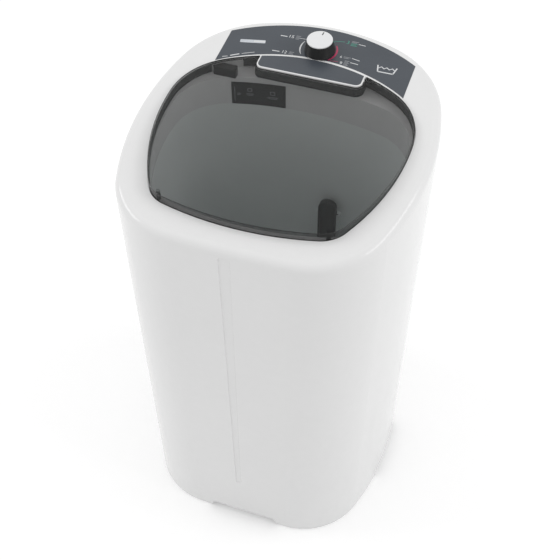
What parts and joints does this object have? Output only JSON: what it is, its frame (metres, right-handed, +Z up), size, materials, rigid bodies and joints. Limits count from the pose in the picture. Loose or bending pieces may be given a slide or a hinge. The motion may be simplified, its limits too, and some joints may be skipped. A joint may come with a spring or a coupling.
{
  "type": "semi-automatic washing machine",
  "caption": "Upright washing tub in a rounded moulded cabinet, with a sloping top, a smoked hinged lid, a timer knob, a lint filter and a belt-driven pulsator.",
  "frame": {"origin": "on the floor under the middle of the cabinet", "axes": "+X to the right of a user who stands at the front, -Y towards that user, +Z up"},
  "size_m": [0.6014, 0.6428, 1.0337],
  "materials": {
    "white_plastic": "glossy moulded",
    "tub_plastic": "smooth moulded",
    "smoked_plastic": "clear smoked, glossy",
    "black_plastic": "fine grain",
    "overlay_film": "satin film",
    "plaque": "printed plate",
    "pale_plastic": "satin",
    "grey_plastic": "moulded",
    "filter_net": "woven net",
    "rubber": "matt",
    "bright_steel": "machined",
    "cast_aluminium": "as cast",
    "painted_steel": "painted"
  },
  "bodies": {
    "body": {"cabinet": "white_plastic", "mouth_collar": "white_plastic", "tub": "tub_plastic", "tub_screws": "bright_steel", "drain_strainer": "grey_plastic", "drain_pipe": "rubber", "drain_outlet": "grey_plastic", "outlet_nut": "black_plastic", "bearing_housing": "cast_aluminium", "upper_bearing": "bright_steel", "lower_bearing": "bright_steel", "shaft_seal": "rubber", "housing_bolts": "bright_steel", "drive_belt": "rubber", "motor_plate": "painted_steel", "motor_hangers": "painted_steel", "hanger_bolts": "bright_steel", "motor_housing": "painted_steel", "motor_end_cover": "cast_aluminium", "motor_bolts": "bright_steel", "capacitor": "grey_plastic", "capacitor_clamp": "bright_steel", "clamp_bolts": "bright_steel", "control_overlay": "overlay_film", "badge_overlay": "overlay_film", "timer_body": "grey_plastic", "timer_screws": "bright_steel", "care_plaque": "plaque", "inlet_spout": "black_plastic", "inlet_nozzle": "grey_plastic", "nozzle_nut": "black_plastic", "inlet_tube": "rubber", "base_cover": "grey_plastic", "base_screws": "bright_steel", "rear_cover": "white_plastic", "cover_screws": "bright_steel", "cord_gland": "black_plastic", "gland_nut": "black_plastic"},
    "lid": {"lid": "smoked_plastic", "hinge_pins": "bright_steel", "lid_bumpers": "rubber"},
    "pulsator": {"pulsator": "pale_plastic", "pulsator_cap": "pale_plastic", "pulsator_screw": "bright_steel", "drive_shaft": "bright_steel", "large_pulley": "cast_aluminium", "pulley_nut": "black_plastic"},
    "motor_rotor": {"motor_shaft": "bright_steel", "motor_fan": "black_plastic", "motor_pulley": "cast_aluminium"},
    "knob": {"knob_skirt": "black_plastic", "knob_cap": "pale_plastic", "timer_shaft": "bright_steel"},
    "lint_filter": {"filter_frame": "black_plastic", "filter_mesh": "filter_net", "filter_cap": "grey_plastic"}
  },
  "joints": [
    {"name": "lid_hinge", "type": "hinge", "parent": "body", "child": "lid", "pos_m": [0, 0.168, 0.99168], "axis": [-1, 0, 0], "range_deg": [0, 100]},
    {"name": "pulsator_spin", "type": "hinge", "parent": "body", "child": "pulsator", "pos_m": [0, -0.049, 0.3], "axis": [0, 0, 1], "continuous": true},
    {"name": "motor_spin", "type": "hinge", "parent": "body", "child": "motor_rotor", "pos_m": [0, 0.137, 0.2], "axis": [0, 0, 1], "continuous": true},
    {"name": "knob_turn", "type": "hinge", "parent": "body", "child": "knob", "pos_m": [0, 0.229, 0.99887], "axis": [0, 0.1201, -0.9928], "range_deg": [0, 300]},
    {"name": "filter_slide", "type": "slide", "parent": "body", "child": "lint_filter", "axis": [0, 0, 1], "range_m": [0, 0.17]}
  ],
  "couplings": [
    {"joint": "motor_spin", "follows": "pulsator_spin", "ratio": 5.7475}
  ]
}
